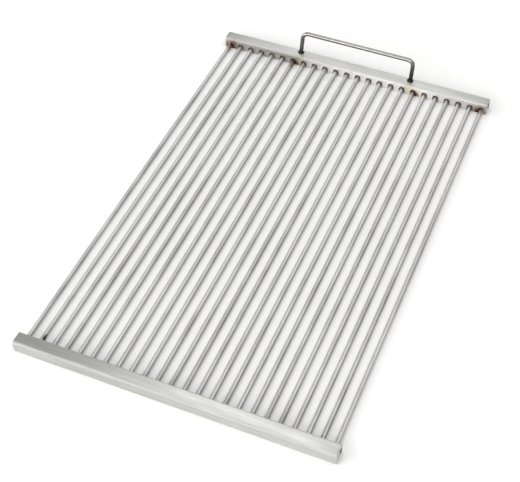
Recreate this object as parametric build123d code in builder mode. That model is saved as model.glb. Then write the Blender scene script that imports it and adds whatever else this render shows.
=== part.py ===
from build123d import *

import os
from math import cos, radians, sin, tan

# Stainless cooking grate: a row of round rods welded between two folded end rails, with a bent
# lifting handle on the rear rail. All sizes are in millimetres. +X runs along the rails to the
# right, +Y from the plain front rail to the handle rail, and +Z is up. The origin is on the
# surface that the grate rests on, under the middle of the whole grate with its handle.

# Overall sizes
rail_length = 340.0
overall_depth = 540.0  # outer face of the front rail to outer face of the rear rail

# Rails: inverted-U channels folded from sheet, open underneath and at both ends
rail_width = 15.0
rail_height = 13.7
rail_sheet = 1.5
rail_bend_radius = 2.5  # outside of each fold

# Rods
rod_diameter = 5.0
rod_count = 24
rod_end_inset = 6.4  # rail's end to the axis of the outermost rod
rod_lift = 0.8  # resting surface to the underside of the rods

# Notches that the rods pass through in the inner flange of each rail
notch_side_clearance = 0.75
notch_headroom = 2.5  # top of a rod to the crown of its notch

# Weld bead round each rod's end, inside the rail, ground flat just above the resting surface
end_weld_leg = 1.3
end_weld_lift = 0.2

# Tack welds in some notches: the rod's number from the left, and the side of it (1 is right)
tack_radius = 1.9
tack_proud = 1.1  # out of each side of the flange
tack_rounding = 0.9
tack_drop = 0.7  # below the rod's axis
front_tacks = ((2, 1), (7, 1), (18, 1), (23, -1))
rear_tacks = ((1, 1), (7, 1), (18, 1), (24, -1))

# Handle: one rod bent to a U, standing on the rear rail and leaning back over it
handle_rod_diameter = 5.0
handle_leg_spacing = 142.3  # between the axes of the legs
handle_height = 25.7  # rail's top to the axis of the bar
handle_lean = 12.8  # degrees
handle_bend_radius = 7.0  # on the rod's axis
handle_foot_inset = 5.8  # rear face of the rail to the axis of a foot
handle_weld_leg = 1.4
handle_weld_height = 2.0

# Where the faces lie along Y
lean = radians(handle_lean)
bar_setback = handle_height * tan(lean) - handle_foot_inset
handle_overhang = max(0, bar_setback + handle_rod_diameter / 2)
front_face = -(overall_depth + handle_overhang) / 2
rear_face = front_face + overall_depth
front_rail_middle = front_face + rail_width / 2
rear_rail_middle = rear_face - rail_width / 2
foot_y = rear_face - handle_foot_inset

# Where the rods lie
rod_radius = rod_diameter / 2
rod_axis_height = rod_lift + rod_radius
rod_length = overall_depth - 2 * rail_sheet
rod_pitch = (rail_length - 2 * rod_end_inset) / (rod_count - 1)
rod_xs = [(index - (rod_count - 1) / 2) * rod_pitch for index in range(rod_count)]

# The notch is an arch round the rod with straight sides below it
notch_radius = rod_radius + notch_side_clearance
notch_crown = rod_lift + rod_diameter + notch_headroom
notch_spring = notch_crown - notch_radius

os.makedirs("parts", exist_ok=True)


def save(part, label):
    """Label a finished piece and write its file."""
    part.label = label
    export_step(part, f"parts/{label}.step")


def make_rail(middle, inward):
    """Folded channel centred on Y = middle; its notched flange is on the inward side (1 is +Y)."""
    with BuildPart() as rail:
        with BuildSketch(Plane.YZ.offset(-rail_length / 2)):
            with Locations((middle, 0)):
                Rectangle(rail_width, rail_height, align=(Align.CENTER, Align.MIN))
        extrude(amount=rail_length)
        fillet(rail.edges().filter_by(Axis.X).group_by(Axis.Z)[-1], rail_bend_radius)
        offset(amount=-rail_sheet, openings=open_faces(rail), kind=Kind.INTERSECTION)
        with BuildSketch(Plane.XZ.offset(-middle)):
            with Locations(*[(x, 0) for x in rod_xs]):
                Rectangle(2 * notch_radius, notch_spring, align=(Align.CENTER, Align.MIN))
            with Locations(*[(x, notch_spring) for x in rod_xs]):
                Circle(notch_radius)
        extrude(amount=-inward * rail_width / 2, mode=Mode.SUBTRACT)
    return rail.part


def open_faces(rail):
    """The underside and the two ends of a rail, where the channel is open."""
    ends = rail.faces().filter_by(Axis.X)
    underside = rail.faces().sort_by(Axis.Z)[0]
    return [underside, *ends]


front_rail = make_rail(front_rail_middle, 1)
save(front_rail, "front_rail")

rear_rail = make_rail(rear_rail_middle, -1)
save(rear_rail, "rear_rail")

# Rods, from the inside of one outer flange to the inside of the other
rods = []
for number, x in enumerate(rod_xs, start=1):
    with BuildPart() as rod:
        with BuildSketch(Plane.XZ.offset(-(front_face + rail_sheet))):
            with Locations((x, rod_axis_height)):
                Circle(rod_radius)
        extrude(amount=-rod_length)
    save(rod.part, f"rod_{number:02d}")
    rods.append(rod.part)


def make_end_welds(flange_face, inward):
    """A fillet bead round every rod where it meets the inside of an outer flange."""
    with BuildPart() as bead:
        with BuildSketch(Plane.YZ):
            with BuildLine():
                root = (0, rod_radius)
                flange_toe = (0, rod_radius + end_weld_leg)
                rod_toe = (inward * end_weld_leg, rod_radius)
                Polyline(root, flange_toe, rod_toe, close=True)
            make_face()
        revolve(axis=Axis.Y)
    with BuildPart() as welds:
        with Locations(*[(x, flange_face, rod_axis_height) for x in rod_xs]):
            add(bead.part)
        split(bisect_by=Plane.XY.offset(end_weld_lift), keep=Keep.TOP)
    return welds.part


save(make_end_welds(front_face + rail_sheet, 1), "front_rod_welds")
save(make_end_welds(rear_face - rail_sheet, -1), "rear_rod_welds")


def make_tacks(tacks, flange_middle, rail):
    """Round tack welds that fill the gap between a rod and the side of its notch."""
    with BuildPart() as blob:
        Cylinder(tack_radius, rail_sheet + 2 * tack_proud, rotation=(90, 0, 0))
        fillet(blob.edges().filter_by(GeomType.CIRCLE), tack_rounding)
    with BuildPart() as welds:
        for number, side in tacks:
            gap_middle = rod_xs[number - 1] + side * (rod_radius + notch_side_clearance / 2)
            with Locations((gap_middle, flange_middle, rod_axis_height - tack_drop)):
                add(blob.part)
            add(rods[number - 1], mode=Mode.SUBTRACT)
        add(rail, mode=Mode.SUBTRACT)
    return welds.part


# From a rail's outer face to the middle of its inner flange
inner_flange_setback = rail_width - rail_sheet / 2
save(make_tacks(front_tacks, front_face + inner_flange_setback, front_rail), "front_tack_welds")
save(make_tacks(rear_tacks, rear_face - inner_flange_setback, rear_rail), "rear_tack_welds")

# Handle: drawn in a plane that leans back, a little below the rail's top, and cut flush with it
rail_top = Plane.XY.offset(rail_height)
foot_stock = handle_rod_diameter * tan(lean)
bar_reach = handle_height / cos(lean)
lean_normal = (0, -cos(lean), sin(lean))
half_spacing = handle_leg_spacing / 2
handle_plane = Plane(origin=(0, foot_y, rail_height), x_dir=(1, 0, 0), z_dir=lean_normal)

with BuildPart() as handle:
    with BuildLine(handle_plane) as route:
        FilletPolyline(
            (-half_spacing, -foot_stock),
            (-half_spacing, bar_reach),
            (half_spacing, bar_reach),
            (half_spacing, -foot_stock),
            radius=handle_bend_radius,
        )
    with BuildSketch(route.line ^ 0):
        Circle(handle_rod_diameter / 2)
    sweep(path=route.line)
    split(bisect_by=rail_top, keep=Keep.TOP)
save(handle.part, "handle")


def make_handle_weld(x):
    """Fillet weld round one foot of the handle, standing on the rail's top."""
    foot_radius = handle_rod_diameter / 2
    slope = handle_weld_leg / handle_weld_height
    skirt = (foot_radius + handle_weld_leg) * tan(lean)
    foot = Plane(origin=(x, foot_y, rail_height), x_dir=(1, 0, 0), z_dir=lean_normal)
    with BuildPart() as weld:
        with BuildSketch(foot):
            with BuildLine():
                Polyline(
                    (foot_radius, handle_weld_height),
                    (foot_radius, -skirt),
                    (foot_radius + handle_weld_leg + slope * skirt, -skirt),
                    close=True,
                )
            make_face()
        revolve(axis=Axis(foot.origin, foot.y_dir))
        split(bisect_by=rail_top, keep=Keep.TOP)
    return weld.part


save(make_handle_weld(-half_spacing), "handle_weld_left")
save(make_handle_weld(half_spacing), "handle_weld_right")
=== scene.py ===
import math

import bmesh
import bpy
from mathutils import Matrix, Quaternion, Vector, noise


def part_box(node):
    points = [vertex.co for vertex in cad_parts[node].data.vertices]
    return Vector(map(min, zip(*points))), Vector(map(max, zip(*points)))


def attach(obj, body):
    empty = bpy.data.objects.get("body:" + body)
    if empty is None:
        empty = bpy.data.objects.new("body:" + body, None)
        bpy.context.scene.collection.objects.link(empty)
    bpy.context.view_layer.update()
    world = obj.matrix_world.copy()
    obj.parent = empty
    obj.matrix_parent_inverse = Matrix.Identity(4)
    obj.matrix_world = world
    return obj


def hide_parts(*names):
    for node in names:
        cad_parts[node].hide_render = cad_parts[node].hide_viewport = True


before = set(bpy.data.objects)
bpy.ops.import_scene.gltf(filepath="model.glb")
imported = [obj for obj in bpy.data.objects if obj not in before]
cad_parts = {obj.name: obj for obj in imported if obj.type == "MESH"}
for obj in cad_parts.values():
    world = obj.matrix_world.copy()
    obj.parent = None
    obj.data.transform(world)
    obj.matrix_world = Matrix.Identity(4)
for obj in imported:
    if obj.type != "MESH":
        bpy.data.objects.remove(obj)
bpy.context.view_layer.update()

bl_info = {
    "name": "Rod Cooking Grate",
    "version": (1, 0, 0),
    "blender": (4, 5, 0),
    "location": "View3D > Sidebar > Grate",
    "description": "Builds a stainless cooking grate: rods, folded rails, a lifting handle and their welds",
    "category": "Add Mesh",
}

MM = 0.001
HALF_TURN = math.pi
QUARTER_TURN = math.pi / 2
FULL_TURN = 2 * math.pi
DOWN = (0, 0, -1)
SNUG = 1e-6  # points closer than this are one point
CORNER = math.radians(60)  # edges where a surface turns by more than this are corners

ROD_NODES = sorted(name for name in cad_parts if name.startswith("rod_"))
RAIL_NODES = ("front_rail", "rear_rail")
HANDLE_WELD_NODES = ("handle_weld_left", "handle_weld_right")


def middle(node):
    """The centre of a CAD node's box."""
    low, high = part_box(node)
    return (low + high) / 2


def extent(node):
    """The size of a CAD node's box along X, Y and Z."""
    low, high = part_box(node)
    return high - low


ROD_RADIUS = max(extent(ROD_NODES[0]).x, extent(ROD_NODES[0]).z) / 2
ROD_PITCH = (middle(ROD_NODES[-1]).x - middle(ROD_NODES[0]).x) / (len(ROD_NODES) - 1)
ROD_AXIS_HEIGHT = middle(ROD_NODES[0]).z
RAIL_SIZE = extent("front_rail")
RAIL_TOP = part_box("rear_rail")[1].z
REAR_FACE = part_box("rear_rail")[1].y
FRONT_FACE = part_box("front_rail")[0].y


def linear(hex_colour):
    """An sRGB hex colour as the linear red, green and blue that Blender's sockets take."""
    channels = [int(hex_colour[i : i + 2], 16) / 255 for i in (0, 2, 4)]
    return tuple(c / 12.92 if c <= 0.04045 else ((c + 0.055) / 1.055) ** 2.4 for c in channels)


def opaque(colour):
    """A colour with full alpha, as colour sockets and ramps take it."""
    return (colour[0], colour[1], colour[2], 1.0)


# ---------------------------------------------------------------------------------------------
# Sizes and colours that a user can change


def length_property(label, text, default):
    return bpy.props.FloatProperty(
        name=label, description=text, default=default, min=0.0, unit="LENGTH", subtype="DISTANCE", precision=5
    )


def colour_property(label, text, hex_colour):
    return bpy.props.FloatVectorProperty(
        name=label, description=text, default=linear(hex_colour), size=3, min=0.0, max=1.0, subtype="COLOR"
    )


class GRATE_PG_rods(bpy.types.PropertyGroup):
    radius: length_property("Radius", "Half the thickness of a rod", ROD_RADIUS)
    end_chamfer: length_property("End chamfer", "Chamfer left by the deburring wheel", 0.25 * MM)
    bow: length_property("Bow", "How far a rod strays from straight at its middle", 0.12 * MM)
    sides: bpy.props.IntProperty(name="Sides", description="Facets round a rod", default=40, min=12)
    stations: bpy.props.IntProperty(name="Stations", description="Divisions along a rod", default=24, min=2)
    colour: colour_property("Steel", "Bright ground stainless", "D3D3D1")
    dull_colour: colour_property("Dull steel", "Ground stainless where the wheel ran coarse", "B6B5B2")


class GRATE_PG_rails(bpy.types.PropertyGroup):
    sheet: length_property("Sheet", "Thickness of the folded sheet", 1.5 * MM)
    fold_radius: length_property("Fold radius", "Outside radius of each fold", 2.5 * MM)
    notch_clearance: length_property("Notch clearance", "Room at each side of a rod", 0.75 * MM)
    notch_headroom: length_property("Notch headroom", "Room over a rod, under its notch's crown", 2.5 * MM)
    # The notch rims are darkened with the scorch colour: partly scorch, partly painted shade of the dark
    # notches
    notch_rim: length_property("Notch rim", "Width of the scorched band round a laser-cut notch", 0.9 * MM)
    deburr: length_property("Deburr", "Rounding of every cut edge", 0.18 * MM)
    arch_steps: bpy.props.IntProperty(name="Arch steps", description="Facets of a notch", default=20, min=6)
    fold_steps: bpy.props.IntProperty(name="Fold steps", description="Facets round a fold", default=8, min=2)
    colour: colour_property("Steel", "Brushed stainless sheet", "CDCDCA")
    grain_colour: colour_property("Grain", "The darker bottoms of the brushed scratches", "AEAEAA")
    # Painted shade as well as heat stain: this dark colour on the rail's inside also stands in for the shade
    # in the channel
    inside_stain_and_shade_colour: colour_property("Inside", "The inside, stained by the heat of welding", "76716C")
    # Painted reflection: the notched flanges take this paler colour to stand in for their bright reflection
    flange_sheen_colour: colour_property("Cleaned steel", "Where acid paste took the heat's oxide off", "DEDCD9")


class GRATE_PG_handle(bpy.types.PropertyGroup):
    radius: length_property("Radius", "Half the thickness of the handle's rod", 2.5 * MM)
    bend_radius: length_property("Bend radius", "Radius of each bend on the rod's axis", 7.0 * MM)
    foot_inset: length_property("Foot inset", "Rear face of the rail to the axis of a foot", 5.8 * MM)
    sides: bpy.props.IntProperty(name="Sides", description="Facets round the rod", default=48, min=12)
    bend_steps: bpy.props.IntProperty(name="Bend steps", description="Facets along a bend", default=14, min=4)
    # Painted highlight and shade: the handle's rod is mixed from these two colours, lighter along its upper
    # front and darker underneath and behind
    colour: colour_property("Steel", "The rod where fingers rubbed it bright", "B3B2AE")
    dull_colour: colour_property("Dull steel", "The rod under its dark film", "74726E")


class GRATE_PG_welds(bpy.types.PropertyGroup):
    foot_leg: length_property("Foot leg", "How far a handle weld spreads from its foot", 1.4 * MM)
    foot_rise: length_property("Foot rise", "How far a handle weld climbs its foot", 2.0 * MM)
    end_leg: length_property("End leg", "How far a rod-end weld spreads", 1.3 * MM)
    end_lift: length_property("End lift", "Gap left under the rod-end welds by grinding", 0.2 * MM)
    tack_radius: length_property("Tack radius", "Half the width of a tack weld, with its lumps", 1.9 * MM)
    ripple: length_property("Ripple", "Height of the ripples along a bead", 0.09 * MM)
    colour: colour_property("Weld", "Weld metal under its dark oxide", "2C2A27")
    crest_colour: colour_property("Weld crest", "The brighter crests of the ripples", "57524C")
    pale_straw: colour_property("Pale straw tint", "The faintest heat tint", "F0EDDB")
    straw: colour_property("Straw tint", "Heat tint at the rim of a scorched patch", "DCCDBB")
    brown: colour_property("Brown tint", "Heat tint nearer a weld", "AF978A")
    scorch: colour_property("Scorch", "Thick oxide beside a weld", "57504C")
    # Painted shade as well as film: this colour darkens the flanges' ends, also standing in for their darker
    # reflection
    film_and_shade: colour_property("Film", "Dull film where the torch passed slowly", "B5B1AD")


class GRATE_PG_studio(bpy.types.PropertyGroup):
    azimuth: bpy.props.FloatProperty(
        name="Azimuth",
        description="Camera's turn to the right of the front",
        default=math.radians(22.12),
        subtype="ANGLE",
        unit="ROTATION",
    )
    elevation: bpy.props.FloatProperty(
        name="Elevation",
        description="Camera's height over the horizon",
        default=math.radians(47.44),
        subtype="ANGLE",
        unit="ROTATION",
    )
    roll: bpy.props.FloatProperty(
        name="Roll", description="Camera's tilt", default=math.radians(0.44), subtype="ANGLE", unit="ROTATION"
    )
    distance: length_property("Distance", "Camera to the point it looks at", 1.2545)
    aim_back: length_property("Aim", "Front rail's outer face to the point looked at", 0.2277)
    lens: bpy.props.FloatProperty(
        name="Lens", description="Focal length on a 36 mm sensor", default=80.8, subtype="DISTANCE_CAMERA"
    )
    floor_size: length_property("Floor size", "Side of the pale floor", 14.0)
    floor_colour: colour_property("Floor", "Matt white paper", "F4F4F3")


# ---------------------------------------------------------------------------------------------
# Mesh tools


def verts_in(geometry):
    return [item for item in geometry if isinstance(item, bmesh.types.BMVert)]


def edges_in(geometry):
    return [item for item in geometry if isinstance(item, bmesh.types.BMEdge)]


def push(bm, edges, vector):
    """Extrude edges along a vector and return the edges that are now at the end."""
    grown = bmesh.ops.extrude_edge_only(bm, edges=edges)["geom"]
    bmesh.ops.translate(bm, verts=verts_in(grown), vec=vector)
    return edges_in(grown)


def turn(bm, edges, centre, axis, angle, steps):
    """Sweep edges round an axis and return the edges that are now at the end."""
    ends = dict.fromkeys(vert for edge in edges for vert in edge.verts)
    swept = bmesh.ops.spin(
        bm, geom=[*ends, *edges], cent=centre, axis=axis, angle=angle, steps=steps, use_duplicate=False
    )
    return edges_in(swept["geom_last"])


def cut_off(bm, place, direction):
    """Cut a shape flat at a place, remove what lies in a direction from there, and close the cut."""
    cut = bmesh.ops.bisect_plane(
        bm,
        geom=bm.verts[:] + bm.edges[:] + bm.faces[:],
        plane_co=place,
        plane_no=direction,
        clear_outer=True,
    )
    bmesh.ops.holes_fill(bm, edges=edges_in(cut["geom_cut"]))
    bmesh.ops.recalc_face_normals(bm, faces=bm.faces[:])


def finish_piece(bm, name, nodes, materials, smooth_angle=35):
    """Turn a bmesh into a piece that stands for its CAD nodes and rides with the grate."""
    mesh = bpy.data.meshes.new(name)
    bm.to_mesh(mesh)
    bm.free()
    for polygon in mesh.polygons:
        polygon.use_smooth = True
    mesh.set_sharp_from_angle(angle=math.radians(smooth_angle))
    piece = bpy.data.objects.new(name, mesh)
    bpy.context.scene.collection.objects.link(piece)
    for material in materials:
        mesh.materials.append(material)
    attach(piece, "root")
    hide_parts(*nodes)
    return piece


def join_in(bm, part):
    """Add a finished part to a bmesh; the part itself is freed."""
    carrier = bpy.data.meshes.new("carrier")
    part.to_mesh(carrier)
    part.free()
    bm.from_mesh(carrier)
    bpy.data.meshes.remove(carrier)


def roughen(verts, size, height, seed):
    """Move vertices along their normals by a smooth random amount, another one for each seed."""
    for vert in verts:
        lift = noise.noise(vert.co / size + Vector((seed, seed * 0.37, -seed)))
        vert.co += vert.normal * lift * height


# ---------------------------------------------------------------------------------------------
# Rods

BOW_WAVES = 2.0  # how often the bow of a rod may change side
SIDEWAYS, UPWARDS = 3.7, 9.1  # two rows of the noise, so that a rod bows in both directions


def build_rod(node, rods):
    """A ground rod: a chamfered bar with a bow too slight to see except in its reflections."""
    low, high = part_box(node)
    axis_x = (low.x + high.x) / 2
    length = high.y - low.y
    bm = bmesh.new()
    ring = bmesh.ops.create_circle(bm, cap_ends=True, segments=rods.sides, radius=rods.radius)["verts"]
    bmesh.ops.rotate(bm, verts=ring, cent=(0, 0, 0), matrix=Matrix.Rotation(QUARTER_TURN, 3, "X"))
    bmesh.ops.translate(bm, verts=ring, vec=(axis_x, low.y, ROD_AXIS_HEIGHT))
    edges = bm.edges[:]
    for _ in range(rods.stations):
        edges = push(bm, edges, (0, length / rods.stations, 0))
    bmesh.ops.contextual_create(bm, geom=edges)
    bmesh.ops.recalc_face_normals(bm, faces=bm.faces[:])
    rims = [e for e in bm.edges if e.calc_face_angle(0) > CORNER]
    bmesh.ops.bevel(
        bm, geom=rims, offset=rods.end_chamfer, segments=2, profile=0.5, affect="EDGES", material=-1
    )
    seed = axis_x / ROD_PITCH
    for vert in bm.verts:
        along = (vert.co.y - low.y) / length
        swing = math.sin(HALF_TURN * along) * rods.bow
        vert.co.x += swing * noise.noise(Vector((seed, BOW_WAVES * along, SIDEWAYS)))
        vert.co.z += swing * noise.noise(Vector((seed, BOW_WAVES * along, UPWARDS)))
    return bm


class GRATE_OT_rods(bpy.types.Operator):
    """Add the row of ground rods"""

    bl_idname = "grate.add_rods"
    bl_label = "Add rods"

    def execute(self, context):
        rods = context.scene.grate_rods
        steel = ground_stainless_rod(rods, context.scene.grate_welds)
        for node in ROD_NODES:
            finish_piece(build_rod(node, rods), f"ground_{node}", [node], [steel])
        return {"FINISHED"}


# ---------------------------------------------------------------------------------------------
# Rails


def notch_arch(rails):
    """The radius of a notch's arch, and the height where the arch springs from its straight sides."""
    radius = ROD_RADIUS + rails.notch_clearance
    crown = ROD_AXIS_HEIGHT + ROD_RADIUS + rails.notch_headroom
    return radius, crown - radius


def cut_notch_cell(bm, rails):
    """One rod's share of the inner flange, in the XZ plane: sheet with a round-topped notch."""
    radius, spring = notch_arch(rails)
    fold_line = RAIL_SIZE.z - rails.fold_radius
    outer = radius + rails.notch_rim

    # The notch's outline: an arch, and a straight side below each end of it
    start = bmesh.ops.create_vert(bm, co=(-radius, 0, spring))["vert"]
    bmesh.ops.spin(
        bm, geom=start, cent=(0, 0, spring), axis=(0, 1, 0), angle=HALF_TURN, steps=rails.arch_steps
    )
    ends = sorted(bm.verts, key=lambda vert: vert.co.x)
    for end in (ends[0], ends[-1]):
        foot = bmesh.ops.extrude_vert_indiv(bm, verts=[end])["verts"]
        bmesh.ops.translate(bm, verts=foot, vec=(0, 0, -spring))

    # A narrow band that follows the outline
    band = verts_in(bmesh.ops.extrude_edge_only(bm, edges=bm.edges[:])["geom"])
    growth = outer / radius
    bmesh.ops.scale(bm, vec=(growth, 1, 1), verts=band)
    arch = [vert for vert in band if vert.co.z > spring - SNUG]
    lowered = Matrix.Translation((0, 0, -spring))
    bmesh.ops.scale(bm, vec=(1, 1, growth), verts=arch, space=lowered)

    # Sheet over the arch, up to the fold
    arch_set = set(arch)
    arch_edges = [edge for edge in bm.edges if set(edge.verts) <= arch_set]
    for vert in verts_in(bmesh.ops.extrude_edge_only(bm, edges=arch_edges)["geom"]):
        sweep = math.atan2(max(vert.co.z - spring, 0.0), vert.co.x) / HALF_TURN
        vert.co.x = outer * (1 - 2 * sweep)
        vert.co.z = fold_line

    # Sheet beside the notch, half way to the next one
    for side in (-1, 1):
        flank = [e for e in bm.edges if all(abs(v.co.x - side * outer) < SNUG for v in e.verts)]
        push(bm, flank, (side * (ROD_PITCH / 2 - outer), 0, 0))


def build_rail(rails):
    """A rail with its outer face on Y = 0 and its notched flange towards +Y, folded from one sheet."""
    width, height, length = RAIL_SIZE.y, RAIL_SIZE.z, RAIL_SIZE.x
    fold_line = height - rails.fold_radius
    bm = bmesh.new()
    cut_notch_cell(bm, rails)
    bmesh.ops.translate(bm, verts=bm.verts[:], vec=(middle(ROD_NODES[0]).x, width, 0))
    cell = bm.verts[:] + bm.edges[:] + bm.faces[:]
    for step in range(1, len(ROD_NODES)):
        copy = bmesh.ops.duplicate(bm, geom=cell)["geom"]
        bmesh.ops.translate(bm, verts=verts_in(copy), vec=(step * ROD_PITCH, 0, 0))
    bmesh.ops.remove_doubles(bm, verts=bm.verts[:], dist=SNUG)
    for side in (-1, 1):
        bmesh.ops.bisect_plane(
            bm,
            geom=bm.verts[:] + bm.edges[:] + bm.faces[:],
            plane_co=(side * length / 2, 0, 0),
            plane_no=(side, 0, 0),
            clear_outer=True,
        )

    # Fold over the top and down the outer face
    edges = [e for e in bm.edges if all(abs(v.co.z - fold_line) < SNUG for v in e.verts)]
    inner_centre = (0, width - rails.fold_radius, fold_line)
    outer_centre = (0, rails.fold_radius, fold_line)
    edges = turn(bm, edges, inner_centre, (1, 0, 0), QUARTER_TURN, rails.fold_steps)
    edges = push(bm, edges, (0, 2 * rails.fold_radius - width, 0))
    edges = turn(bm, edges, outer_centre, (1, 0, 0), QUARTER_TURN, rails.fold_steps)
    push(bm, edges, (0, 0, -fold_line))
    bmesh.ops.remove_doubles(bm, verts=bm.verts[:], dist=SNUG)
    bmesh.ops.recalc_face_normals(bm, faces=bm.faces[:])
    if max(bm.faces, key=lambda face: face.calc_center_median().z).normal.z < 0:
        bmesh.ops.reverse_faces(bm, faces=bm.faces[:])
    bmesh.ops.solidify(bm, geom=bm.faces[:], thickness=rails.sheet)
    bmesh.ops.recalc_face_normals(bm, faces=bm.faces[:])
    return bm


def deburr(bm, rails):
    """Round every cut edge of the sheet a little."""
    rims = [e for e in bm.edges if e.calc_face_angle(0) > CORNER]
    bmesh.ops.bevel(bm, geom=rims, offset=rails.deburr, segments=2, profile=0.5, affect="EDGES", material=-1)


def mark_stains_and_shade(bm, rails):
    """Store how close each vertex is to a laser cut, and whether it is on the inside of the rail."""
    radius, spring = notch_arch(rails)
    cut_edge = bm.verts.layers.float.new("cut_edge")
    inside = bm.verts.layers.float.new("inside")
    first = middle(ROD_NODES[0]).x
    inner_face = RAIL_SIZE.y - rails.sheet
    for vert in bm.verts:
        under = vert.co.z < RAIL_SIZE.z - rails.sheet + SNUG
        between = rails.sheet - SNUG < vert.co.y < inner_face + SNUG
        vert[inside] = float(under and between)
        if vert.co.y < inner_face - SNUG:
            continue
        offset = (vert.co.x - first + ROD_PITCH / 2) % ROD_PITCH - ROD_PITCH / 2
        away = math.hypot(offset, max(vert.co.z - spring, 0)) - radius
        vert[cut_edge] = max(0.0, 1.0 - max(away, 0.0) / rails.notch_rim)


class GRATE_OT_rails(bpy.types.Operator):
    """Add the two folded rails with their notches"""

    bl_idname = "grate.add_rails"
    bl_label = "Add rails"

    def execute(self, context):
        rails = context.scene.grate_rails
        steel = brushed_stainless_sheet(rails, context.scene.grate_welds)
        for node in RAIL_NODES:
            bm = build_rail(rails)
            deburr(bm, rails)
            mark_stains_and_shade(bm, rails)
            face = FRONT_FACE
            if node == "rear_rail":
                face = REAR_FACE
                half_turn = Matrix.Rotation(HALF_TURN, 3, "Z")
                bmesh.ops.rotate(bm, verts=bm.verts[:], cent=(0, 0, 0), matrix=half_turn)
            bmesh.ops.translate(bm, verts=bm.verts[:], vec=(0, face, 0))
            finish_piece(bm, f"folded_{node}", [node], [steel])
        return {"FINISHED"}


# ---------------------------------------------------------------------------------------------
# Handle


def handle_lean(handle):
    """The handle's lean, and the length of a leg from the rail to the axis of the bar."""
    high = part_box("handle")[1]
    back = high.y - handle.radius - (REAR_FACE - handle.foot_inset)
    rise = high.z - handle.radius - RAIL_TOP
    return math.atan2(back, rise), math.hypot(back, rise)


def bend_handle(handle):
    """One rod bent to a U, leaning back from its feet and cut flush with the rail's top."""
    lean, reach = handle_lean(handle)
    half = extent("handle").x / 2 - handle.radius
    bend = handle.bend_radius
    stock = handle.radius * math.tan(lean) + MM
    bm = bmesh.new()
    ring = bmesh.ops.create_circle(bm, segments=handle.sides, radius=handle.radius)["verts"]
    bmesh.ops.translate(bm, verts=ring, vec=(-half, 0, -stock))
    edges = push(bm, bm.edges[:], (0, 0, reach - bend + stock))
    edges = turn(bm, edges, (bend - half, 0, reach - bend), (0, 1, 0), QUARTER_TURN, handle.bend_steps)
    edges = push(bm, edges, (2 * (half - bend), 0, 0))
    edges = turn(bm, edges, (half - bend, 0, reach - bend), (0, 1, 0), QUARTER_TURN, handle.bend_steps)
    push(bm, edges, (0, 0, bend - reach - stock))
    bmesh.ops.remove_doubles(bm, verts=bm.verts[:], dist=SNUG)
    store_rod_lie(bm, half, reach, bend)
    upright = Matrix.Rotation(-lean, 3, "X")
    bmesh.ops.rotate(bm, verts=bm.verts[:], cent=(0, 0, 0), matrix=upright)
    bmesh.ops.translate(bm, verts=bm.verts[:], vec=(0, REAR_FACE - handle.foot_inset, RAIL_TOP))
    cut_off(bm, (0, 0, RAIL_TOP), DOWN)
    return bm


def store_rod_lie(bm, half, reach, bend):
    """Store the direction from the rod's axis and the distance along it, for lines that follow the bends."""
    layer = bm.verts.layers.float_vector.new("rod_lie")
    leg = reach - bend
    arc = QUARTER_TURN * bend
    for vert in bm.verts:
        x, y, z = vert.co
        side = -1 if x < 0 else 1
        inward = half - abs(x)
        if z <= leg:
            out, along = abs(x) - half, z
        elif inward >= bend:
            out, along = z - reach, leg + arc + inward - bend
        else:
            out = math.hypot(bend - inward, z - leg) - bend
            along = leg + bend * math.atan2(z - leg, bend - inward)
        vert[layer] = Vector((out, y, side * (along - leg - arc - half)))


class GRATE_OT_handle(bpy.types.Operator):
    """Add the bent lifting handle"""

    bl_idname = "grate.add_handle"
    bl_label = "Add handle"

    def execute(self, context):
        handle = context.scene.grate_handle
        steel = unpolished_stainless_rod(handle, context.scene.grate_welds)
        finish_piece(bend_handle(handle), "bent_handle", ["handle"], [steel])
        return {"FINISHED"}


# ---------------------------------------------------------------------------------------------
# Welds

BEAD_SIDES = 14  # facets round a bead's section
STEPS_A_RIPPLE = 6
FOOT_RIPPLES, END_RIPPLES = 16, 9  # pools laid round a foot of the handle, and round a rod's end
RIPPLE_SHIFT, RIPPLE_LEAN = 1.7, 0.9  # radians between the ripples of two beads, and their slant
SWELL, SWELL_RATE = 0.16, 1.3  # how much a bead's size wanders, as a share, and how quickly
SEED_SHIFT = 5  # keeps the rear beads from repeating the front ones
TACK_CORE = 0.8  # a tack's share that its lumps grow from
LUMP_SIZE, LUMP_HEIGHT = 1.1 * MM, 0.35 * MM


def rippled_bead(ring_radius, leg, rise, ripple, ripples, seed):
    """A ring of weld round the Z axis, standing on Z = 0, with the ripples of its pools."""
    bm = bmesh.new()
    section = bmesh.ops.create_circle(bm, segments=BEAD_SIDES, radius=leg)["verts"]
    bmesh.ops.rotate(bm, verts=section, cent=(0, 0, 0), matrix=Matrix.Rotation(QUARTER_TURN, 3, "X"))
    bmesh.ops.translate(bm, verts=section, vec=(ring_radius, 0, 0))
    bmesh.ops.spin(
        bm,
        geom=bm.verts[:] + bm.edges[:],
        cent=(0, 0, 0),
        axis=(0, 0, 1),
        angle=FULL_TURN,
        steps=ripples * STEPS_A_RIPPLE,
        use_merge=True,
    )
    phase = RIPPLE_SHIFT * seed
    for vert in bm.verts:
        radial = Vector((vert.co.x, vert.co.y, 0))
        distance = radial.length
        out = (distance - ring_radius) / leg
        around = math.atan2(vert.co.y, vert.co.x)
        pool = math.cos(ripples * around + phase + RIPPLE_LEAN * vert.co.z / leg)
        wander = noise.noise(Vector((math.cos(around), math.sin(around), seed)) * SWELL_RATE)
        swell = 1 + SWELL * wander
        height = vert.co.z * rise / leg * swell
        reach = ring_radius + out * leg * swell
        lift = ripple * pool * max(out, 0.0)
        vert.co = radial.normalized() * (reach + lift) + Vector((0, 0, height + ripple * pool * 0.5))
    return bm


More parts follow.
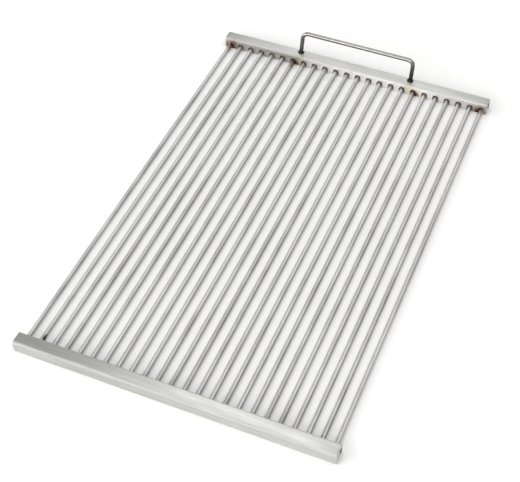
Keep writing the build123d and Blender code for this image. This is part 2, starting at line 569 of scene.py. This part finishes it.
class GRATE_OT_handle_welds(bpy.types.Operator):
    """Add the weld round each foot of the handle"""

    bl_idname = "grate.add_handle_welds"
    bl_label = "Add handle welds"

    def execute(self, context):
        scene = context.scene
        handle, welds = scene.grate_handle, scene.grate_welds
        lean, _ = handle_lean(handle)
        metal = oxidised_weld_metal(welds)
        for seed, node in enumerate(HANDLE_WELD_NODES, start=1):
            leg, rise, ripple = welds.foot_leg, welds.foot_rise, welds.ripple
            bm = rippled_bead(handle.radius, leg, rise, ripple, FOOT_RIPPLES, seed)
            bmesh.ops.rotate(bm, verts=bm.verts[:], cent=(0, 0, 0), matrix=Matrix.Rotation(-lean, 3, "X"))
            foot = (middle(node).x, REAR_FACE - handle.foot_inset, RAIL_TOP)
            bmesh.ops.translate(bm, verts=bm.verts[:], vec=foot)
            cut_off(bm, (0, 0, RAIL_TOP), DOWN)
            finish_piece(bm, f"bead_{node}", [node], [metal], smooth_angle=50)
        return {"FINISHED"}


class GRATE_OT_end_welds(bpy.types.Operator):
    """Add the beads where the rods' ends meet the inside of the rails"""

    bl_idname = "grate.add_end_welds"
    bl_label = "Add rod-end welds"

    def execute(self, context):
        welds = context.scene.grate_welds
        sheet = context.scene.grate_rails.sheet
        metal = oxidised_weld_metal(welds)
        ends = (("front_rod_welds", FRONT_FACE + sheet, -1), ("rear_rod_welds", REAR_FACE - sheet, 1))
        for node, flange, side in ends:
            bm = bmesh.new()
            facing = Matrix.Rotation(side * QUARTER_TURN, 3, "X")
            for seed, rod in enumerate(ROD_NODES):
                seed += SEED_SHIFT * side
                bead = rippled_bead(ROD_RADIUS, welds.end_leg, welds.end_leg, welds.ripple, END_RIPPLES, seed)
                bmesh.ops.rotate(bead, verts=bead.verts[:], cent=(0, 0, 0), matrix=facing)
                bmesh.ops.translate(bead, verts=bead.verts[:], vec=(middle(rod).x, flange, ROD_AXIS_HEIGHT))
                join_in(bm, bead)
            cut_off(bm, (0, flange, 0), (0, side, 0))
            cut_off(bm, (0, 0, welds.end_lift), DOWN)
            finish_piece(bm, f"beads_{node}", [node], [metal], smooth_angle=50)
        return {"FINISHED"}


def tack_places():
    """The centre of each tack weld, from the boxes of the CAD solids that share a node."""
    places = {}
    for node in ("front_tack_welds", "rear_tack_welds"):
        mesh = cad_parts[node].data
        flange = middle(node)
        spots = []
        for vert in sorted(mesh.vertices, key=lambda v: v.co.x):
            if not spots or vert.co.x - spots[-1][-1] > ROD_RADIUS:
                spots.append([vert.co.x])
            spots[-1].append(vert.co.x)
        places[node] = [Vector(((s[0] + s[-1]) / 2, flange.y, flange.z)) for s in spots]
    return places


class GRATE_OT_tack_welds(bpy.types.Operator):
    """Add the tack welds between a few rods and their notches"""

    bl_idname = "grate.add_tack_welds"
    bl_label = "Add tack welds"

    def execute(self, context):
        welds = context.scene.grate_welds
        metal = oxidised_weld_metal(welds)
        for node, places in tack_places().items():
            bm = bmesh.new()
            half = extent(node) / 2
            for seed, place in enumerate(places):
                blob = bmesh.ops.create_icosphere(bm, subdivisions=4, radius=1.0)["verts"]
                bmesh.ops.scale(bm, vec=(welds.tack_radius * TACK_CORE, half.y, half.z), verts=blob)
                bm.normal_update()
                roughen(blob, LUMP_SIZE, LUMP_HEIGHT, seed + 1.0)
                bmesh.ops.translate(bm, verts=blob, vec=place)
            finish_piece(bm, f"blobs_{node}", [node], [metal], smooth_angle=60)
        return {"FINISHED"}


# ---------------------------------------------------------------------------------------------
# Materials

# The sockets of a colour mix go by number, because three kinds of mix share their names
MIX_FACTOR, MIX_UNDER, MIX_OVER, MIX_RESULT = 0, 6, 7, 2

ALONG_X, ALONG_Y, ALONG_Z = 0, 1, 2
NO_TINT = (1, 1, 1)
# How far the heat of each tack weld tinted the rods and the rails, from left to right
ROD_REAR_REACHES = (14 * MM, 16 * MM, 9 * MM, 11 * MM)
ROD_FRONT_REACHES = (4 * MM, 7 * MM, 7 * MM, 7 * MM)
RAIL_REAR_REACHES = (11 * MM, 6 * MM, 7 * MM, 10 * MM)
RAIL_FRONT_REACHES = (9 * MM, 9 * MM, 9 * MM, 9 * MM)
# How far it crept up the handle's left and right feet, and through the rail to the flange below them
FOOT_REACHES = (9 * MM, 20 * MM)
UNDER_FOOT_DEPTH, UNDER_FOOT_REACH = 8 * MM, 11 * MM
# A dark mark on the flank of one rod, placed from its front tack weld
DARK_MARK_OFFSET, DARK_MARK_REACH = Vector((3 * MM, 8.5 * MM, MM)), 7 * MM


def add_node(tree, kind, inputs=None, output=0, stops=(), **settings):
    """Add a node and return one of its outputs; an input takes a value, or a socket to link from."""
    node = tree.nodes.new(kind)
    for name, value in settings.items():
        setattr(node, name, value)
    for key, value in (inputs or {}).items():
        socket = node.inputs[key]
        if isinstance(value, bpy.types.NodeSocket):
            tree.links.new(value, socket)
        else:
            socket.default_value = opaque(value) if socket.type == "RGBA" else value
    for number, (place, colour) in enumerate(stops):
        elements = node.color_ramp.elements
        element = elements.new(place) if number > 1 else elements[number]
        element.position, element.color = place, opaque(colour)
    return node.outputs[output] if node.outputs else None


def new_material(name):
    """A material with an empty node tree."""
    material = bpy.data.materials.new(name)
    material.use_nodes = True
    material.node_tree.nodes.clear()
    return material, material.node_tree


def streaks(tree, position, spacing, run, along, detail):
    """Noise in streaks a spacing apart, each running on along one axis."""
    scale = [1 / spacing] * 3
    scale[along] = 1 / run
    stretched = add_node(tree, "ShaderNodeVectorMath", {0: position, 1: tuple(scale)}, operation="MULTIPLY")
    return add_node(tree, "ShaderNodeTexNoise", {"Vector": stretched, "Scale": 1.0, "Detail": detail})


def heat_tint(tree, colour, position, spots, stops):
    """Lay oxide colours over a steel; each hot spot is a place and how far its heat reached."""
    nearest = None
    for place, reach in spots:
        away = add_node(
            tree, "ShaderNodeVectorMath", {0: position, 1: tuple(place)}, output="Value", operation="DISTANCE"
        )
        share = add_node(tree, "ShaderNodeMath", {0: away, 1: reach}, operation="DIVIDE")
        if nearest is not None:
            share = add_node(tree, "ShaderNodeMath", {0: nearest, 1: share}, operation="MINIMUM")
        nearest = share
    # The tide lines of a tint wander over about 5 mm
    wander = add_node(tree, "ShaderNodeTexNoise", {"Vector": position, "Scale": 1 / (5 * MM), "Detail": 3.0})
    wander = add_node(
        tree,
        "ShaderNodeMapRange",
        {"Value": wander, "From Min": 0.3, "From Max": 0.7, "To Min": -0.22, "To Max": 0.22},
    )
    share = add_node(tree, "ShaderNodeMath", {0: nearest, 1: wander}, operation="ADD")
    tint = add_node(tree, "ShaderNodeValToRGB", {"Fac": share}, stops=stops)
    return add_node(
        tree,
        "ShaderNodeMix",
        {MIX_FACTOR: 1.0, MIX_UNDER: colour, MIX_OVER: tint},
        output=MIX_RESULT,
        data_type="RGBA",
        blend_type="MULTIPLY",
    )


def tack_spots(node, reaches):
    """The tack welds of one rail as hot spots, from left to right."""
    return list(zip(tack_places()[node], reaches))


def handle_feet():
    """Where the handle's feet stand."""
    return [Vector((middle(node).x, middle(node).y, RAIL_TOP)) for node in HANDLE_WELD_NODES]


def ground_stainless_rod(rods, welds):
    """Centreless-ground stainless rod."""
    # Grinding marks run round the rod, so its shine spreads along it: a pale line with dark flanks
    material, tree = new_material("Ground stainless rod")
    position = add_node(tree, "ShaderNodeTexCoord", output="Object")
    # Handling lines, drawn 0.5 mm apart and so far coarser than real ones, which would not show
    lines = streaks(tree, position, 0.5 * MM, 80 * MM, ALONG_Y, 2.0)
    # Patches of coarser grinding, about 60 mm long
    patches = streaks(tree, position, 9 * MM, 60 * MM, ALONG_Y, 4.0)
    dullness = add_node(tree, "ShaderNodeMapRange", {"Value": patches, "From Min": 0.40, "From Max": 0.66})
    streak = add_node(
        tree, "ShaderNodeMapRange", {"Value": lines, "From Min": 0.35, "From Max": 0.7, "To Max": 0.3}
    )
    dark_share = add_node(tree, "ShaderNodeMath", {0: dullness, 1: streak}, operation="MAXIMUM")
    colour = add_node(
        tree,
        "ShaderNodeMix",
        {MIX_FACTOR: dark_share, MIX_UNDER: rods.colour, MIX_OVER: rods.dull_colour},
        output=MIX_RESULT,
        data_type="RGBA",
    )
    front_spots = tack_spots("front_tack_welds", ROD_FRONT_REACHES)
    spots = tack_spots("rear_tack_welds", ROD_REAR_REACHES) + front_spots
    stops = [(0.0, welds.scorch), (0.3, welds.brown), (0.7, welds.straw), (1.0, NO_TINT)]
    colour = heat_tint(tree, colour, position, spots, stops)
    # A dark mark along the flank of one rod, beside its tack
    dark_mark = front_spots[0][0] + DARK_MARK_OFFSET
    stops = [(0.0, welds.colour), (0.6, welds.scorch), (1.0, NO_TINT)]
    colour = heat_tint(tree, colour, position, [(dark_mark, DARK_MARK_REACH)], stops)
    roughness = add_node(tree, "ShaderNodeMapRange", {"Value": dark_share, "To Min": 0.44, "To Max": 0.52})
    bump = add_node(tree, "ShaderNodeBump", {"Height": lines, "Strength": 0.15, "Distance": 0.02 * MM})
    along = add_node(tree, "ShaderNodeCombineXYZ", {"Y": 1.0})
    steel = {"Base Color": colour, "Metallic": 1.0, "Roughness": roughness, "Anisotropic": 0.85}
    steel = add_node(tree, "ShaderNodeBsdfPrincipled", {**steel, "Tangent": along, "Normal": bump})
    add_node(tree, "ShaderNodeOutputMaterial", {"Surface": steel})
    return material


def paint_flange_sheen_and_shade(tree, colour, position, clouds, rails, welds):
    """Paler steel painted on the notched flanges as their bright reflection, with a darker film and painted
    shade towards their ends.
    """
    depth = add_node(tree, "ShaderNodeSeparateXYZ", {"Vector": position}, output="Y")
    depth = add_node(tree, "ShaderNodeMath", {0: depth}, operation="ABSOLUTE")
    flange = REAR_FACE - RAIL_SIZE.y
    on_flange = {"Value": depth, "From Min": flange + 0.05 * MM, "From Max": flange + 0.6 * MM}
    on_flange = add_node(tree, "ShaderNodeMapRange", {**on_flange, "To Min": 1.0, "To Max": 0.0})
    # Painted reflection: a paler colour over the flanges
    sheened = add_node(
        tree,
        "ShaderNodeMix",
        {MIX_FACTOR: on_flange, MIX_UNDER: colour, MIX_OVER: rails.flange_sheen_colour},
        output=MIX_RESULT,
        data_type="RGBA",
    )
    lengthwise = add_node(tree, "ShaderNodeSeparateXYZ", {"Vector": position}, output="X")
    lengthwise = add_node(
        tree,
        "ShaderNodeMapRange",
        {"Value": lengthwise, "From Min": -RAIL_SIZE.x / 2, "From Max": RAIL_SIZE.x / 2},
    )
    # How thick the film and painted shade are, from the left end at 0 to the right end at 1
    full, light, none = (1, 1, 1), (0.25, 0.25, 0.25), (0, 0, 0)
    stops = [(0.26, full), (0.36, light), (0.44, none), (0.78, none), (1.0, full)]
    film_and_shade = add_node(tree, "ShaderNodeValToRGB", {"Fac": lengthwise}, stops=stops)
    thinned = add_node(
        tree, "ShaderNodeMapRange", {"Value": clouds, "From Min": 0.3, "From Max": 0.6, "To Min": 0.7}
    )
    film_and_shade = add_node(tree, "ShaderNodeMath", {0: film_and_shade, 1: thinned}, operation="MULTIPLY")
    film_and_shade = add_node(tree, "ShaderNodeMath", {0: film_and_shade, 1: on_flange}, operation="MULTIPLY")
    return add_node(
        tree,
        "ShaderNodeMix",
        {MIX_FACTOR: film_and_shade, MIX_UNDER: sheened, MIX_OVER: welds.film_and_shade},
        output=MIX_RESULT,
        data_type="RGBA",
        blend_type="MULTIPLY",
    )


def brushed_stainless_sheet(rails, welds):
    """Brushed stainless sheet, folded after it was brushed."""
    # The straight grain along the rail keeps a reflection narrow along it and spreads it across
    material, tree = new_material("Brushed stainless sheet")
    position = add_node(tree, "ShaderNodeTexCoord", output="Object")
    # Brush marks, drawn 0.5 mm apart because the real ones, near 0.05 mm, would not show
    grain = streaks(tree, position, 0.5 * MM, 30 * MM, ALONG_X, 3.0)
    # Cloudy bands, about 60 mm long, where the brush was pressed less
    clouds = streaks(tree, position, 9 * MM, 60 * MM, ALONG_X, 3.0)
    scratch = add_node(
        tree, "ShaderNodeMapRange", {"Value": grain, "From Min": 0.35, "From Max": 0.72, "To Max": 0.8}
    )
    cloud = add_node(
        tree, "ShaderNodeMapRange", {"Value": clouds, "From Min": 0.35, "From Max": 0.7, "To Max": 0.4}
    )
    dark_share = add_node(tree, "ShaderNodeMath", {0: scratch, 1: cloud}, operation="ADD")
    colour = add_node(
        tree,
        "ShaderNodeMix",
        {MIX_FACTOR: dark_share, MIX_UNDER: rails.colour, MIX_OVER: rails.grain_colour},
        output=MIX_RESULT,
        data_type="RGBA",
    )
    # Painted reflection and shade on the notched flanges
    colour = paint_flange_sheen_and_shade(tree, colour, position, clouds, rails, welds)
    spots = tack_spots("rear_tack_welds", RAIL_REAR_REACHES)
    spots += tack_spots("front_tack_welds", RAIL_FRONT_REACHES)
    stops = [(0.15, welds.scorch), (0.35, welds.brown), (0.7, welds.straw), (1.0, NO_TINT)]
    colour = heat_tint(tree, colour, position, spots, stops)
    # A pale patch on the rear rail's flange under each foot of the handle
    flange, height = REAR_FACE - RAIL_SIZE.y, RAIL_TOP - UNDER_FOOT_DEPTH
    spots = [(Vector((foot.x, flange, height)), UNDER_FOOT_REACH) for foot in handle_feet()]
    stops = [(0.0, welds.pale_straw), (0.6, welds.pale_straw), (1.0, NO_TINT)]
    colour = heat_tint(tree, colour, position, spots, stops)
    # The rail's inside and its notch rims are darkened: heat stain and scorch, and painted shade in the
    # channel and the notches
    for layer, stain_and_shade in (("inside", rails.inside_stain_and_shade_colour), ("cut_edge", welds.scorch)):
        cover = add_node(tree, "ShaderNodeAttribute", output="Fac", attribute_name=layer)
        cover = add_node(tree, "ShaderNodeMapRange", {"Value": cover, "From Min": 0.3, "From Max": 0.9})
        colour = add_node(
            tree,
            "ShaderNodeMix",
            {MIX_FACTOR: cover, MIX_UNDER: colour, MIX_OVER: stain_and_shade},
            output=MIX_RESULT,
            data_type="RGBA",
        )
    roughness = add_node(tree, "ShaderNodeMapRange", {"Value": dark_share, "To Min": 0.33, "To Max": 0.43})
    # Stretching roughened the sheet over the folds, where it faces neither straight up nor straight out
    facing = add_node(tree, "ShaderNodeNewGeometry", output="Normal")
    outward = add_node(tree, "ShaderNodeSeparateXYZ", {"Vector": facing}, output="Y")
    upward = add_node(tree, "ShaderNodeSeparateXYZ", {"Vector": facing}, output="Z")
    fold = add_node(tree, "ShaderNodeMath", {0: outward, 1: upward}, operation="MULTIPLY")
    fold = add_node(tree, "ShaderNodeMath", {0: fold}, operation="ABSOLUTE")
    fold = add_node(
        tree, "ShaderNodeMapRange", {"Value": fold, "From Max": 0.4, "To Min": 0.33, "To Max": 0.52}
    )
    roughness = add_node(tree, "ShaderNodeMath", {0: roughness, 1: fold}, operation="MAXIMUM")
    bump = add_node(tree, "ShaderNodeBump", {"Height": grain, "Strength": 0.25, "Distance": 0.02 * MM})
    across = add_node(tree, "ShaderNodeVectorMath", {0: facing, 1: (1, 0, 0)}, operation="CROSS_PRODUCT")
    steel = {"Base Color": colour, "Metallic": 1.0, "Roughness": roughness, "Anisotropic": 0.9}
    steel = add_node(tree, "ShaderNodeBsdfPrincipled", {**steel, "Tangent": across, "Normal": bump})
    add_node(tree, "ShaderNodeOutputMaterial", {"Surface": steel})
    return material


def unpolished_stainless_rod(handle, welds):
    """Stainless rod left as bent."""
    # Duller and greyer than the ground rods, with lines that follow the bends and brown at its feet
    material, tree = new_material("Unpolished stainless rod")
    position = add_node(tree, "ShaderNodeTexCoord", output="Object")
    lie = add_node(tree, "ShaderNodeAttribute", output="Vector", attribute_name="rod_lie")
    # Drawing lines, 0.5 mm apart so that they show at all
    lines = streaks(tree, lie, 0.5 * MM, 40 * MM, ALONG_Z, 2.0)
    # Dull patches, 3 mm by 9 mm, from handling
    patches = streaks(tree, lie, 3 * MM, 9 * MM, ALONG_Z, 4.0)
    dullness = add_node(
        tree, "ShaderNodeMapRange", {"Value": patches, "From Min": 0.38, "From Max": 0.7, "To Max": 0.5}
    )
    streak = add_node(
        tree, "ShaderNodeMapRange", {"Value": lines, "From Min": 0.3, "From Max": 0.7, "To Max": 0.3}
    )
    dark_share = add_node(tree, "ShaderNodeMath", {0: dullness, 1: streak}, operation="MAXIMUM")
    # Painted highlight and shade: the bar is kept light along its upper front and darkened underneath and
    # behind, standing in for how it reflects its surroundings
    facing = add_node(tree, "ShaderNodeNewGeometry", output="Normal")
    upward = add_node(tree, "ShaderNodeSeparateXYZ", {"Vector": facing}, output="Z")
    backward = add_node(tree, "ShaderNodeSeparateXYZ", {"Vector": facing}, output="Y")
    film_and_shade = {"Value": upward, "From Min": 0.35, "From Max": 0.6, "To Min": 1.0, "To Max": 0.0}
    film_and_shade = add_node(tree, "ShaderNodeMapRange", film_and_shade)
    dark_share = add_node(tree, "ShaderNodeMath", {0: dark_share, 1: film_and_shade}, operation="MAXIMUM")
    film_and_shade = {"Value": backward, "From Min": -0.65, "From Max": -0.4, "To Max": 0.75}
    film_and_shade = add_node(tree, "ShaderNodeMapRange", film_and_shade)
    dark_share = add_node(tree, "ShaderNodeMath", {0: dark_share, 1: film_and_shade}, operation="MAXIMUM")
    colour = add_node(
        tree,
        "ShaderNodeMix",
        {MIX_FACTOR: dark_share, MIX_UNDER: handle.colour, MIX_OVER: handle.dull_colour},
        output=MIX_RESULT,
        data_type="RGBA",
    )
    spots = list(zip(handle_feet(), FOOT_REACHES))
    stops = [(0.0, welds.scorch), (0.35, welds.brown), (0.8, welds.straw), (1.0, NO_TINT)]
    colour = heat_tint(tree, colour, position, spots, stops)
    roughness = add_node(tree, "ShaderNodeMapRange", {"Value": dark_share, "To Min": 0.2, "To Max": 0.27})
    bump = add_node(tree, "ShaderNodeBump", {"Height": lines, "Strength": 0.12, "Distance": 0.03 * MM})
    steel = {"Base Color": colour, "Metallic": 1.0, "Roughness": roughness, "Normal": bump}
    steel = add_node(tree, "ShaderNodeBsdfPrincipled", steel)
    add_node(tree, "ShaderNodeOutputMaterial", {"Surface": steel})
    return material


def oxidised_weld_metal(welds):
    """Weld metal as the torch leaves it."""
    # Glossy and near black with oxide, and paler on the crests of its ripples
    known = bpy.data.materials.get("Oxidised weld metal")
    if known:
        return known
    material, tree = new_material("Oxidised weld metal")
    position = add_node(tree, "ShaderNodeTexCoord", output="Object")
    # Flakes of scale, about 0.9 mm across
    flake_scale = 1 / (0.9 * MM)
    flakes = add_node(tree, "ShaderNodeTexNoise", {"Vector": position, "Scale": flake_scale, "Detail": 4.0})
    crest = add_node(tree, "ShaderNodeMapRange", {"Value": flakes, "From Min": 0.5, "From Max": 0.75})
    colour = add_node(
        tree,
        "ShaderNodeMix",
        {MIX_FACTOR: crest, MIX_UNDER: welds.colour, MIX_OVER: welds.crest_colour},
        output=MIX_RESULT,
        data_type="RGBA",
    )
    roughness = add_node(
        tree,
        "ShaderNodeMapRange",
        {"Value": flakes, "From Min": 0.3, "From Max": 0.7, "To Min": 0.22, "To Max": 0.45},
    )
    bump = add_node(tree, "ShaderNodeBump", {"Height": flakes, "Strength": 0.4, "Distance": 0.06 * MM})
    metal = {"Base Color": colour, "Metallic": 1.0, "Roughness": roughness, "Normal": bump}
    metal = add_node(tree, "ShaderNodeBsdfPrincipled", metal)
    add_node(tree, "ShaderNodeOutputMaterial", {"Surface": metal})
    return material


def matt_white_paper(studio):
    """Seamless white paper."""
    # Matt, with a fibre texture too fine to stand out
    material, tree = new_material("Matt white paper")
    position = add_node(tree, "ShaderNodeTexCoord", output="Object")
    fibre = add_node(tree, "ShaderNodeTexNoise", {"Vector": position, "Scale": 1 / (3 * MM), "Detail": 2.0})
    roughness = add_node(
        tree,
        "ShaderNodeMapRange",
        {"Value": fibre, "From Min": 0.3, "From Max": 0.7, "To Min": 0.85, "To Max": 0.95},
    )
    paper = {"Base Color": studio.floor_colour, "Roughness": roughness, "Specular IOR Level": 0.2}
    paper = add_node(tree, "ShaderNodeBsdfPrincipled", paper)
    add_node(tree, "ShaderNodeOutputMaterial", {"Surface": paper})
    return material


# ---------------------------------------------------------------------------------------------
# Studio


SENSOR_WIDTH = 36.0
NEAREST, FARTHEST = 0.05, 60.0  # the range that the camera sees
SOFTBOX_DISTANCE = 4.4
AMBIENT = 0.4  # brightness of the white room round the softboxes


def from_grate(azimuth, elevation):
    """The direction from the grate at an azimuth, to the right of the front, and an elevation."""
    flat = math.cos(elevation)
    return Vector((math.sin(azimuth) * flat, -math.cos(azimuth) * flat, math.sin(elevation)))


def facing_grate(back, roll):
    """The turn that points a camera or a lamp against a direction, tilted by a roll."""
    return (-back).to_track_quat("-Z", "Y") @ Quaternion((0, 0, 1), roll)


def add_camera(studio):
    """The camera, on a sphere round the point that it looks at."""
    aim = Vector((0, FRONT_FACE + studio.aim_back, ROD_AXIS_HEIGHT))
    back = from_grate(studio.azimuth, studio.elevation)
    data = bpy.data.cameras.new("camera")
    data.lens = studio.lens
    data.sensor_width = SENSOR_WIDTH
    data.clip_start, data.clip_end = NEAREST, FARTHEST
    camera = bpy.data.objects.new("camera", data)
    bpy.context.scene.collection.objects.link(camera)
    camera.rotation_mode = "QUATERNION"
    camera.location = aim + back * studio.distance
    camera.rotation_quaternion = facing_grate(back, studio.roll)
    bpy.context.scene.camera = camera


# Each softbox's name; azimuth, elevation and roll in degrees; width and height in metres; and
# brightness, where 1 is white
SOFTBOXES = (
    ("front_left_softbox", -45, 22, 0, 3.0, 3.0, 3.3),
    ("front_softbox", 0, 22, 0, 3.0, 3.0, 3.6),
    ("left_softbox", -90, 20, 0, 3.0, 3.0, 1.2),
    ("overhead_softbox", 90, 71, 0, 3.0, 3.0, 1.5),
    ("overhead_strip", -149, 66, -28.7, 1.1, 4.4, 2.2),
    ("front_overhead_strip", -28.8, 58.7, 0, 0.5, 1.0, 2.6),
    ("back_right_softbox", 150, 42, 0, 2.4, 2.4, 1.3),
)


def add_softbox(name, azimuth, elevation, roll, width, height, brightness):
    """A softbox that faces the grate; azimuths and elevations are as the camera's."""
    back = from_grate(math.radians(azimuth), math.radians(elevation))
    data = bpy.data.lights.new(name, "AREA")
    data.shape = "RECTANGLE"
    data.size, data.size_y = width, height
    # An area lamp spreads its power over pi times its area
    data.energy = brightness * math.pi * width * height
    lamp = bpy.data.objects.new(name, data)
    bpy.context.scene.collection.objects.link(lamp)
    lamp.visible_camera = False
    lamp.location = back * SOFTBOX_DISTANCE
    lamp.rotation_mode = "QUATERNION"
    lamp.rotation_quaternion = facing_grate(back, math.radians(roll))


class GRATE_OT_studio(bpy.types.Operator):
    """Add the floor, the soft light and the camera"""

    bl_idname = "grate.add_studio"
    bl_label = "Add studio"

    def execute(self, context):
        scene = context.scene
        studio = scene.grate_studio
        bm = bmesh.new()
        bmesh.ops.create_grid(bm, x_segments=1, y_segments=1, size=studio.floor_size / 2)
        mesh = bpy.data.meshes.new("paper_floor")
        bm.to_mesh(mesh)
        bm.free()
        mesh.materials.append(matt_white_paper(studio))
        floor = bpy.data.objects.new("paper_floor", mesh)
        scene.collection.objects.link(floor)
        world = bpy.data.worlds.new("studio")
        world.use_nodes = True
        background = world.node_tree.nodes["Background"]
        background.inputs["Color"].default_value = opaque((1, 1, 1))
        background.inputs["Strength"].default_value = AMBIENT
        scene.world = world
        for softbox in SOFTBOXES:
            add_softbox(*softbox)
        scene.view_settings.view_transform = "Standard"
        add_camera(studio)
        return {"FINISHED"}


# ---------------------------------------------------------------------------------------------
# Panel and registration


class GRATE_PT_sidebar(bpy.types.Panel):
    """Lists the grate's pieces and their sizes"""

    bl_idname = "GRATE_PT_sidebar"
    bl_label = "Cooking grate"
    bl_space_type = "VIEW_3D"
    bl_region_type = "UI"
    bl_category = "Grate"

    def draw(self, context):
        for label, group, operators in SECTIONS:
            box = self.layout.box()
            box.label(text=label)
            settings = getattr(context.scene, group)
            for name in settings.__annotations__:
                box.prop(settings, name)
            for operator in operators:
                box.operator(operator.bl_idname)


SECTIONS = (
    ("Rods", "grate_rods", (GRATE_OT_rods,)),
    ("Rails", "grate_rails", (GRATE_OT_rails,)),
    ("Handle", "grate_handle", (GRATE_OT_handle,)),
    ("Welds", "grate_welds", (GRATE_OT_handle_welds, GRATE_OT_end_welds, GRATE_OT_tack_welds)),
    ("Studio", "grate_studio", (GRATE_OT_studio,)),
)

GROUPS = {
    "grate_rods": GRATE_PG_rods,
    "grate_rails": GRATE_PG_rails,
    "grate_handle": GRATE_PG_handle,
    "grate_welds": GRATE_PG_welds,
    "grate_studio": GRATE_PG_studio,
}

CLASSES = (
    *GROUPS.values(),
    GRATE_OT_rods,
    GRATE_OT_rails,
    GRATE_OT_handle,
    GRATE_OT_handle_welds,
    GRATE_OT_end_welds,
    GRATE_OT_tack_welds,
    GRATE_OT_studio,
    GRATE_PT_sidebar,
)


def register():
    for cls in CLASSES:
        bpy.utils.register_class(cls)
    for name, group in GROUPS.items():
        setattr(bpy.types.Scene, name, bpy.props.PointerProperty(type=group))


def unregister():
    for name in GROUPS:
        delattr(bpy.types.Scene, name)
    for cls in reversed(CLASSES):
        bpy.utils.unregister_class(cls)


def main():
    """Build the whole grate, then the studio."""
    register()
    bpy.ops.grate.add_rods()
    bpy.ops.grate.add_rails()
    bpy.ops.grate.add_handle()
    bpy.ops.grate.add_handle_welds()
    bpy.ops.grate.add_end_welds()
    bpy.ops.grate.add_tack_welds()
    bpy.ops.grate.add_studio()


if __name__ == "__main__":
    main()
